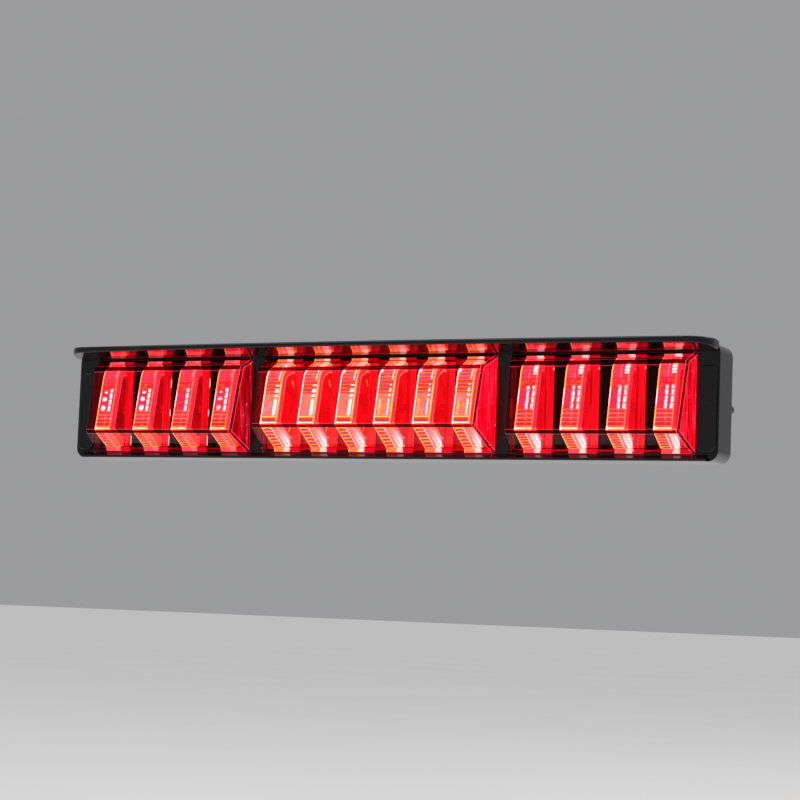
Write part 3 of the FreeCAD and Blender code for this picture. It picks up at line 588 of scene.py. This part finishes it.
def guide_lower(kind):
    """The lower face, whose flutes glow as orange waves."""
    paint = Paint(f"{kind}_guide_lower")
    u, v = paint.optic()
    x, _, z = paint.place()
    number = paint.attribute("number")
    cloud = paint.noise(paint.vector(x * 420, z * 300, 5.0), 1.0)
    wobble = (paint.noise(paint.vector(x * 700, z * 700, 8.0), 1.0) - 0.5) * 0.14
    rows = 7
    bent = v + wobble * 0.5 - (u - 0.35) * (u - 0.35) * 0.30
    wave = rungs(bent, rows, 0.24, 0.44)
    luck = paint.luck((bent * rows).floor(), (u * 3).floor(), number)
    paint.colour = PINK
    paint.over(RED, (1 - wave) * (0.35 + luck * 0.5))
    paint.over(ORANGE, wave * ({"left": 0.28, "centre": 0.65, "right": 0.45}[kind] + luck * 0.3))
    paint.over(YELLOW, wave * rungs(bent, rows, 0.36, 0.46) * u.ramp(0.75, 0.45) * 0.7)
    if kind == "left":
        paint.over(PEACH, u.ramp(0.60, 0.75) * 0.3)
    else:
        paint.over(PEACH, u.ramp(0.56, 0.68) * 0.75)
        reach = v * (0.9 if kind == "centre" else 0.5) + (0.0 if kind == "centre" else 0.45)
        glare = (u + wobble).ramp(0.66, 0.86) * reach.at_most(1.0)
        paint.over(ROSE, (glare * 1.4).at_most(1.0) * (0.75 + wave * 0.25))
        paint.over(WHITE, (glare * 1.6 - 0.5).at_least(0.0).at_most(1.0) * (1 - wave * 0.5))
    crack = (u + wobble * 0.5).near(0.60, 0.018, 0.02) * (1 - wave)
    paint.over(WHITE, crack * (0.9 if kind != "left" else 0.35))
    paint.over(YELLOW, u.ramp(0.06, 0.03))
    paint.over(ORANGE, u.ramp(0.94, 0.97) * (0.4 + luck * 0.5))
    paint.over(YELLOW, v.ramp(0.93, 0.99) * (0.4 + cloud * 0.6))
    return lit(paint)


def guide_upper(kind):
    """The upper face, under the brow."""
    paint = Paint(f"{kind}_guide_upper")
    u, v = paint.optic()
    x, _, z = paint.place()
    number = paint.attribute("number")
    cloud = paint.noise(paint.vector(x * 420, z * 500, 9.0), 1.0)
    rung = rungs(v, 5)
    luck = paint.luck((v * 5).floor(), (u * 4).floor(), number)
    if kind == "centre":
        paint.colour = PEACH
        paint.over(RED, cloud.ramp(0.55, 0.40) * 0.5)
        paint.over(ORANGE, rung * 0.9)
        paint.over(WHITE, u.between(0.62, 0.95, 0.06) * (1 - rung) * (0.4 + luck * 0.6))
        paint.over(WHITE, u.near(0.36, 0.03, 0.03) * (1 - rung) * luck)
    else:
        paint.colour = PINK
        paint.over(RED, cloud.ramp(0.55, 0.42) * 0.6)
        paint.over(PEACH, (1 - rung) * luck * 0.5)
        paint.over(DEEP, rung * 0.3)
        paint.over(ROSE, (1 - rung) * luck.ramp(0.7, 0.9) * (0.8 if kind == "right" else 0.5))
    paint.over(YELLOW, u.ramp(0.08, 0.03) * 0.8)
    paint.over(ORANGE, u.ramp(0.94, 0.98) * 0.7)
    return lit(paint)


def guide_side(kind):
    """The flat side of the bow: an even glow with brighter rims, glaring along its lower leg."""
    paint = Paint(f"{kind}_guide_side")
    u, v = paint.optic()
    x, y, z = paint.place()
    cloud = paint.noise(paint.vector(x * 60, y * 700, z * 120), 1.0)
    paint.colour = PINK
    paint.over(RED, cloud.ramp(0.42, 0.6) * 0.55)
    paint.over(RED, u.ramp(0.35, 0.9) * 0.4)
    if kind == "centre":
        paint.over(PEACH, u.ramp(0.5, 0.1) * 0.6)
        paint.over(YELLOW, u.ramp(0.14, 0.06) * 0.9)
        paint.over(ORANGE, u.ramp(0.86, 0.96) * 0.8)
    else:
        paint.over(ORANGE, u.ramp(0.10, 0.04) * (0.25 + cloud * 0.4))
        paint.over(ROSE, u.ramp(0.90, 0.97) * 0.25)
    lower = v.between(SIDE_LIFT["lower"], SIDE_LIFT["lower"] + 1.0, 0.01)
    wave = rungs(v, 7, 0.2, 0.42)
    if kind == "left":
        paint.over(RED, lower * 0.5)
        paint.over(ORANGE, lower * wave * 0.3)
    else:
        reach = v.ramp(2.1, 2.9) if kind == "centre" else v.ramp(2.0, 2.5)
        paint.over(PEACH, lower * 0.5)
        paint.over(ROSE, lower * reach * (1 - u * 0.5))
        paint.over(WHITE, lower * reach * u.ramp(0.75, 0.25) * (1 - wave * 0.6))
    return lit(paint)


def guide_back(kind):
    """The inside of the bow."""
    paint = Paint(f"{kind}_guide_back")
    x, _, z = paint.place()
    cloud = paint.noise(paint.vector(x * 300, 0.0, z * 90), 1.0)
    paint.colour = RED
    paint.over(PINK, cloud.ramp(0.5, 0.65) * 0.6)
    return lit(paint)


def build_guides():
    """The fourteen guides, each with its block's materials and its own (left, right) glare."""
    makers = {"front": guide_front, "lower": guide_lower, "upper": guide_upper, "side": guide_side,
              "back": guide_back}
    heats = {1: (1.0, 1.0), 2: (1.0, 1.0), 3: (0.0, 0.9), 4: (0.55, 1.0), 5: (0.0, 1.0), 6: (0.5, 1.0),
             7: (1.0, 1.0), 8: (1.0, 0.9), 9: (1.0, 0.9), 10: (1.0, 1.0)}
    for kind, block in BLOCKS.items():
        materials = [makers[zone](kind) for zone in ZONES]
        for number in block["guides"]:
            guide = light_guide(number, block, heats.get(number, (0.0, 1.0)))
            for material in materials:
                guide.data.materials.append(material)


# ---------------------------------------------------------------- finishes of the CAD nodes
def lens_red(kind):
    """Clear red plastic with painted shade on its rounded edges, a thin painted reflection beside them,
    and painted glow in its walls.
    """
    block = BLOCKS[kind]
    prow, draft = block["prow"], block["draft"]
    paint = Paint(f"{kind}_lens")
    x, y, z = paint.place()
    low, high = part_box(f"{kind}_lens")
    foot, crease, top, head = section(prow, 0.0)
    inside = []
    for a, b in ((foot, crease), (crease, top), (top, head)):
        along = (b - a).normalized()
        inside.append((y - a.x) * along.y - (z - a.y) * along.x)
    lower, front, upper = inside
    depth = BASE_Y - y
    length = math.hypot(1, draft)
    left = (x - (low.x + FLANGE_LAP) - depth * draft) / length
    right = ((high.x - FLANGE_LAP) - depth * draft - x) / length
    sides = left.at_most(right).at_least(lower.at_most(front).at_most(upper))
    at_crease, at_top = lower.at_least(front), upper.at_least(front)
    at_foot, at_head = lower.at_least(depth), upper.at_least(depth)
    side = abs(paint.facing()[0]).ramp(0.7, 0.9)
    right_half = ((x - low.x) / (high.x - low.x)).ramp(0.45, 0.55)
    # the colour of the painted shade along the rounded crease and top
    edge = (0.10, 0.0, 0.002) if kind == "centre" else (0.045, 0.0, 0.001)
    tint, level = {"left": ((0.50, 0.03, 0.05), 0.16), "centre": ((0.85, 0.11, 0.14), 0.55),
                   "right": ((0.70, 0.06, 0.08), 0.38)}[kind]

    # the tint of what shows through, darkened near the rounded edges, the crease, the top and the head as
    # painted shade
    paint.colour = (0.97, 0.46, 0.46)
    paint.over(tint, side * right_half)
    paint.over(edge, at_crease.ramp(1.35 * MM, 1.0 * MM))
    paint.over(edge, at_top.ramp(1.6 * MM, 1.2 * MM))
    paint.over((0.09, 0.0, 0.002), sides.ramp(1.10 * MM, 0.80 * MM))
    paint.over((0.04, 0.0, 0.0), at_head.ramp(1.3 * MM, 0.9 * MM))
    through = paint.new("BsdfTransparent")
    plug(paint.tree, through.inputs["Color"], paint.colour)

    # light caught near the base, under the brow and in the right wall, in step with the guides
    lean, wave_pitch = 0.45, 1.45 * MM
    across, _ = cells(kind, x - depth * lean)
    in_guide, in_cell = across.between(0.3, 10.1, 0.3), across.between(0.3, 16.6, 0.3)
    ripple = paint.noise(paint.vector(x * 700, z * 500, y * 500), 1.0)
    at_base = lower.ramp(0.35 * MM, 0.15 * MM) * depth.between(0.35 * MM, 3.6 * MM, 0.25 * MM)
    under_brow = upper.ramp(0.35 * MM, 0.15 * MM) * depth.between(1.2 * MM, 4.3 * MM, 0.3 * MM)
    caught = at_base.at_least(under_brow * 0.9)
    streak = paint.noise(paint.vector(x * 300, y * 900 + z * 60, z * 45), 1.0, 3.0)
    spot = paint.specks(paint.vector(x, y, z * 0.6), 420.0)
    paint.colour = (0.0, 0.0, 0.0)
    paint.over((0.03, 0.0, 0.001), side)
    wall = side * right_half
    paint.over((level, 0.0, level * 0.02), wall)
    paint.over((level + 0.40, 0.015, 0.05), wall * streak.ramp(0.50, 0.64))
    paint.over((level + 0.70, 0.06, 0.13), wall * streak.ramp(0.62, 0.70))
    paint.over((level * 0.3, 0.0, 0.0), wall * streak.ramp(0.47, 0.36))
    paint.over((1.6, 0.35, 0.55), wall * spot.ramp(0.14, 0.08) * streak.ramp(0.50, 0.56))
    paint.over((0.75, 0.0, 0.015), caught * in_cell)
    paint.over((1.25, 0.05, 0.11), caught * in_guide)
    wave = rungs(depth + (across - 4.0) * (across - 4.0) * 0.000012, 1 / wave_pitch, 0.14, 0.38)
    amber = (2.0, 0.42, 0.04) if kind == "centre" else (1.5, 0.11, 0.12)
    paint.over(amber, caught * in_guide * wave * (across.ramp(8.5, 6.0) * 0.7 + 0.15))
    paint.over(amber, caught * in_guide * ripple.ramp(0.52, 0.58) * 0.6)
    glare = caught * (across + (ripple - 0.5) * 3.0).between(7.0, 9.6, 1.0)
    paint.over((2.4, 1.1, 1.0), glare * (0.1 if kind == "left" else 0.65))
    paint.over(amber, caught * across.near(0.5, 0.15, 0.3) * 0.8)

    # the thin bright line inside each dark edge: a painted reflection beside the painted edge shade
    bright = at_crease.near(1.55 * MM, 0.08 * MM, 0.12 * MM) * 0.55
    bright = bright.at_least(at_top.near(1.8 * MM, 0.08 * MM, 0.12 * MM) * 0.4)
    bright = bright.at_least(sides.near(1.3 * MM, 0.12 * MM, 0.12 * MM) * right_half)
    bright = bright.at_least(at_foot.ramp(0.30 * MM, 0.20 * MM) * (0.15 + in_cell * 0.75))
    paint.over((1.2, 0.07, 0.14), bright)
    glow = paint.new("Emission")
    plug(paint.tree, glow.inputs["Color"], paint.colour)
    both = paint.new("AddShader")
    paint.tree.links.new(through.outputs[0], both.inputs[0])
    paint.tree.links.new(glow.outputs[0], both.inputs[1])
    return paint.output(paint.gloss_over(both.outputs[0]))


def cells(kind, x):
    """Where x lies in its block's row: in mm from a guide's left edge, and the number of the cell."""
    numbers = BLOCKS[kind]["guides"]
    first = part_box(f"light_guide_{numbers[0]:02d}")[0].x + GUIDE_FOOT
    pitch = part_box(f"light_guide_{numbers[1]:02d}")[0].x + GUIDE_FOOT - first
    across = (x - first) / pitch
    return across.fraction() * (pitch / MM), across.floor()


def panel_red(kind):
    """The reflector, painted as lit by the LEDs: bright strips beside the guides and bowls behind them,
    painted shade just right of the guides, and painted glints along the strips' right rims.
    """
    paint = Paint(f"{kind}_panel")
    x, y, z = paint.place()
    across, cell = cells(kind, x)
    height = z / MM
    streak = paint.noise(paint.vector(x * 1100, cell * 7.0, z * 26), 1.0, 3.0)
    mottle = paint.noise(paint.vector(x * 170, cell * 3.0, z * 70), 1.0, 3.0)
    bowl = y.ramp(TRAY_Y + 0.3 * MM, TRAY_Y + 0.6 * MM)
    flat = 1 - bowl
    if kind == "centre":
        paint.colour = (1.15, 0.006, 0.03)
        paint.over((0.72, 0.0, 0.012), mottle.ramp(0.46, 0.6) * 0.8)
        paint.over((1.6, 0.06, 0.16), flat * streak.ramp(0.50, 0.66) * 0.7)
        # a painted highlight along each strip's right rim
        paint.over(PINK, flat * across.ramp(15.2, 17.5) * 0.45)
        # painted shade just right of the guides, from the third cell on
        paint.over((0.42, 0.0, 0.008), across.near(11.6, 0.7, 1.3) * cell.ramp(1.5, 2.5) * 0.6)
        glint = abs(height).near(13.0, 1.5, 0.6) * (across - height * 0.04).near(7.4, 0.15, 0.2)
        paint.over(ORANGE, bowl * glint * cell.ramp(2.5, 1.5))
    elif kind == "left":
        paint.colour = (0.95, 0.003, 0.03)
        paint.over((0.45, 0.0, 0.008), flat * streak.ramp(0.50, 0.38) * 0.8)
        paint.over((1.7, 0.07, 0.20), flat * streak.ramp(0.56, 0.66) * 0.7)
        paint.over((0.50, 0.0, 0.008), bowl)
        paint.over((0.26, 0.0, 0.003), bowl * mottle.ramp(0.48, 0.60))
        paint.over((0.85, 0.005, 0.03), bowl * streak.ramp(0.56, 0.68) * 0.6)
        # a painted reflection along each strip's right rim, with painted glints dashed along it
        paint.over((1.8, 0.08, 0.25), across.near(16.9, 0.15, 0.2))
        dash = height.near(13.5, 1.6, 1.8) * cell.ramp(0.2, 0.8)
        dash = dash.at_least(height.near(-4.0, 1.2, 1.4) * cell.ramp(0.2, 0.8))
        dash = dash.at_least(height.near(-20.4, 2.2, 1.2)) * across.near(15.9, 0.05, 0.45)
        paint.over(ROSE, dash)
        paint.over(WHITE, (dash - 0.5).at_least(0.0) * 2.0)
    else:
        paint.colour = (1.15, 0.005, 0.045)
        paint.over((0.40, 0.0, 0.006), streak.ramp(0.50, 0.36) * 0.75)
        paint.over((1.7, 0.06, 0.18), streak.ramp(0.56, 0.68) * 0.6)
        paint.over((0.62, 0.0, 0.010), bowl * mottle.ramp(0.46, 0.58) * 0.7)
        # painted shade just right of each guide, then painted reflections along each strip's right rim
        paint.over((0.30, 0.0, 0.004), across.near(11.6, 0.35, 0.5) * mottle.ramp(0.34, 0.5) * 0.8)
        paint.over((1.9, 0.10, 0.30), across.near(16.9, 0.12, 0.2) * 0.8)
        paint.over(ROSE, height.near(19.4, 0.2, 0.7) * across.near(15.9, 0.1, 0.6))
    return lit(paint, 0.45, (0.01, 0.0, 0.0))


def mask_black(kind):
    """The matt plate between the cells, which takes some light from the guide to its right."""
    paint = Paint(f"{kind}_mask")
    x, y, z = paint.place()
    grain = paint.noise(paint.vector(x, y, z), 900.0, 3.0)
    across, _ = cells(kind, x)
    spill = across.ramp(12.0, 24.0) if kind == "centre" else across.ramp(24.2, 26.6) * 0.6
    paint.colour = (0.0015, 0.0, 0.0) if kind != "centre" else (0.09, 0.0, 0.001)
    paint.over((0.80, 0.0, 0.012), spill)
    paint.over((0.0, 0.0, 0.0), grain.ramp(0.48, 0.62) * 0.5)
    shader = paint.principled(Base_Color=(0.004, 0.003, 0.003), Roughness=0.9, Specular_IOR_Level=0.05,
                              Emission_Color=paint.colour, Emission_Strength=1.0,
                              Normal=paint.bump(grain, 0.04 * MM))
    return paint.output(shader.outputs[0])


def gloss_black():
    """Piano-black plastic with a little dust."""
    paint = Paint("piano_black")
    x, y, z = paint.place()
    place = paint.vector(x, y, z)
    dust = paint.specks(place, 900.0).ramp(0.16, 0.06) * paint.noise(place, 60.0).ramp(0.5, 0.62)
    haze = paint.noise(place, 45.0, 4.0)
    paint.colour = (0.006, 0.006, 0.007)
    paint.over((0.10, 0.09, 0.09), dust)
    wave = paint.noise(place, 160.0, 1.0)
    shader = paint.principled(Base_Color=paint.colour, Roughness=0.05 + haze * 0.06 + dust * 0.5,
                              Specular_IOR_Level=0.4, Normal=paint.bump(wave, 0.02 * MM, 0.4))
    return paint.output(shader.outputs[0])


def moulded(name, colour, roughness=0.55, grain=0.05 * MM, scale=2600.0):
    """Moulded plastic with a fine erosion grain and faint flow clouds."""
    paint = Paint(name)
    x, y, z = paint.place()
    place = paint.vector(x, y, z)
    fine = paint.noise(place, scale, 3.0)
    cloud = paint.noise(place, 55.0, 4.0)
    paint.colour = colour
    paint.over(tuple(c * 1.7 + 0.004 for c in colour), cloud.ramp(0.4, 0.7) * 0.5)
    paint.over(tuple(c * 0.6 for c in colour), fine.ramp(0.45, 0.3) * 0.6)
    shader = paint.principled(Base_Color=paint.colour, Roughness=roughness + (cloud - 0.5) * 0.25,
                              Specular_IOR_Level=0.3, Normal=paint.bump(fine, grain))
    return paint.output(shader.outputs[0])


def foam(name, colour):
    """Closed-cell foam rubber."""
    paint = Paint(name)
    x, y, z = paint.place()
    place = paint.vector(x, y, z)
    pores = paint.specks(place, 1500.0)
    paint.colour = colour
    # the pores darker: painted shade in the small hollows
    paint.over(tuple(c * 0.25 for c in colour), pores.ramp(0.30, 0.12))
    shader = paint.principled(Base_Color=paint.colour, Roughness=0.9, Normal=paint.bump(pores, 0.12 * MM))
    return paint.output(shader.outputs[0])


def metal(name, colour, roughness=0.32):
    """Plated metal with fine turning marks and a few duller patches."""
    paint = Paint(name)
    x, y, z = paint.place()
    place = paint.vector(x, y, z)
    marks = paint.noise(paint.vector(x * 900, y * 6000, z * 900), 1.0, 2.0)
    patch = paint.noise(place, 300.0, 4.0)
    paint.colour = colour
    paint.over(tuple(c * 0.55 for c in colour), patch.ramp(0.48, 0.7) * 0.7)
    shader = paint.principled(Base_Color=paint.colour, Metallic=1.0,
                              Roughness=roughness + (patch - 0.5) * 0.3,
                              Normal=paint.bump(marks, 0.01 * MM))
    return paint.output(shader.outputs[0])


def led_lit():
    """A lit LED's resin, in the red light of its bowl."""
    paint = Paint("led_resin")
    x, y, z = paint.place()
    grain = paint.noise(paint.vector(x, y, z), 500.0)
    paint.colour = (0.95, 0.01, 0.03)
    paint.over((0.70, 0.0, 0.015), grain.ramp(0.4, 0.6))
    return lit(paint)


def solder_mask():
    """A board's green lacquer, lit red round its row of LEDs."""
    paint = Paint("solder_mask")
    x, y, z = paint.place()
    weave = paint.noise(paint.vector(x * 3000, y, z * 3000), 1.0)
    tracks = paint.noise(paint.vector(x * 120, y, z * 900), 1.0)
    paint.colour = (0.010, 0.09, 0.03)
    paint.over((0.022, 0.15, 0.05), tracks.between(0.46, 0.52, 0.01))
    green = paint.colour
    paint.colour = (0.0, 0.0, 0.0)
    paint.over((0.6, 0.0, 0.01), z.near(-1.0 * MM, 4.0 * MM, 2.0 * MM))
    shader = paint.principled(Base_Color=green, Roughness=0.35, Emission_Color=paint.colour,
                              Emission_Strength=1.0, Normal=paint.bump(weave, 0.01 * MM))
    return paint.output(shader.outputs[0])


def finish_nodes():
    """Gives each CAD node its finish, by its slot or, for lenses, reflectors and masks, by its block."""
    by_slot = {
        "housing_black": moulded("moulded_black", (0.012, 0.012, 0.013)),
        "bezel_gloss_black": gloss_black(),
        "silicone_grey": foam("silicone", (0.22, 0.22, 0.23)),
        "seal_black": foam("foam_rubber", (0.020, 0.020, 0.021)),
        "board_green": solder_mask(),
        "led_white": led_lit(),
        "component_black": moulded("component_resin", (0.02, 0.02, 0.02), 0.4, 0.02 * MM),
        "connector_grey": moulded("moulded_grey", (0.10, 0.105, 0.11), 0.45, 0.03 * MM),
        "terminal_tin": metal("tinned", (0.72, 0.70, 0.66), 0.25),
        "vent_grey": moulded("vent_moulding", (0.055, 0.058, 0.06), 0.5, 0.03 * MM),
        "screw_zinc": metal("zinc_plate", (0.62, 0.62, 0.60)),
        "steel_black": metal("black_zinc", (0.06, 0.06, 0.062), 0.4),
    }
    for kind in BLOCKS:
        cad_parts[f"{kind}_lens"].material_slots[0].material = lens_red(kind)
        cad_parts[f"{kind}_reflector"].material_slots[0].material = panel_red(kind)
        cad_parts[f"{kind}_mask"].material_slots[0].material = mask_black(kind)
    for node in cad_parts.values():
        for slot in node.material_slots:
            name = slot.material.name.split(".")[0]
            if name in by_slot:
                slot.material = by_slot[name]


# ---------------------------------------------------------------- studio and camera
def studio():
    """A pale floor, an even grey room and two large soft lights."""
    bpy.ops.mesh.primitive_plane_add(size=40.0, location=(0, 0, cad_low.z - FLOOR_DROP))
    floor = bpy.context.object
    floor.name = "floor"
    paint = Paint("floor_pale")
    x, y, _ = paint.place()
    cloud = paint.noise(paint.vector(x, y, 0.0), 3.0)
    paint.colour = (0.80, 0.79, 0.78)
    paint.over((0.79, 0.78, 0.77), cloud.ramp(0.4, 0.6))
    shader = paint.principled(Base_Color=paint.colour, Roughness=0.8)
    floor.data.materials.append(paint.output(shader.outputs[0]))

    world = bpy.data.worlds.new("room")
    bpy.context.scene.world = world
    world.use_nodes = True
    world.node_tree.nodes["Background"].inputs["Color"].default_value = (0.33, 0.33, 0.34, 1.0)
    sun = bpy.data.lights.new("ceiling", "SUN")
    sun.energy, sun.angle = 1.1, math.radians(50)
    ceiling = bpy.data.objects.new("ceiling", sun)
    ceiling.rotation_euler = (math.radians(-12), math.radians(14), 0.0)
    bpy.context.scene.collection.objects.link(ceiling)
    lamps = (("key", (-0.9, -1.3, 1.5), 1.4, 12.0), ("fill", (1.3, 0.9, 1.3), 1.6, 12.0))
    for name, place, size, power in lamps:
        light = bpy.data.lights.new(name, "AREA")
        light.shape = "RECTANGLE"
        light.size, light.size_y = size, size * 0.6
        light.energy = power
        lamp = bpy.data.objects.new(name, light)
        lamp.location = place
        lamp.rotation_euler = (-Vector(place)).to_track_quat("-Z", "Y").to_euler()
        bpy.context.scene.collection.objects.link(lamp)


def camera():
    """Low and to the lamp's right, at the photograph's angle, which was fitted to the lens corners."""
    azimuth, elevation, roll = math.radians(25.64), math.radians(-5.28), math.radians(2.18)
    aim = Vector((14.26 * MM, BASE_Y, 2.63 * MM))
    distance = 1.2405
    back = Vector((math.sin(azimuth) * math.cos(elevation), -math.cos(azimuth) * math.cos(elevation),
                   math.sin(elevation)))
    across = Vector((math.cos(azimuth), math.sin(azimuth), 0))
    up = back.cross(across)
    level = Matrix((across, up, back)).transposed()
    data = bpy.data.cameras.new("camera")
    data.lens, data.sensor_width = 99.0, 36.0
    data.clip_start, data.clip_end = 0.05, 60.0
    eye = bpy.data.objects.new("camera", data)
    tilted = level @ Matrix.Rotation(roll, 3, "Z")
    eye.matrix_world = Matrix.Translation(aim + back * distance) @ tilted.to_4x4()
    bpy.context.scene.collection.objects.link(eye)
    bpy.context.scene.camera = eye
    bpy.context.scene.view_settings.view_transform = "Standard"


build_guides()
finish_nodes()
studio()
camera()
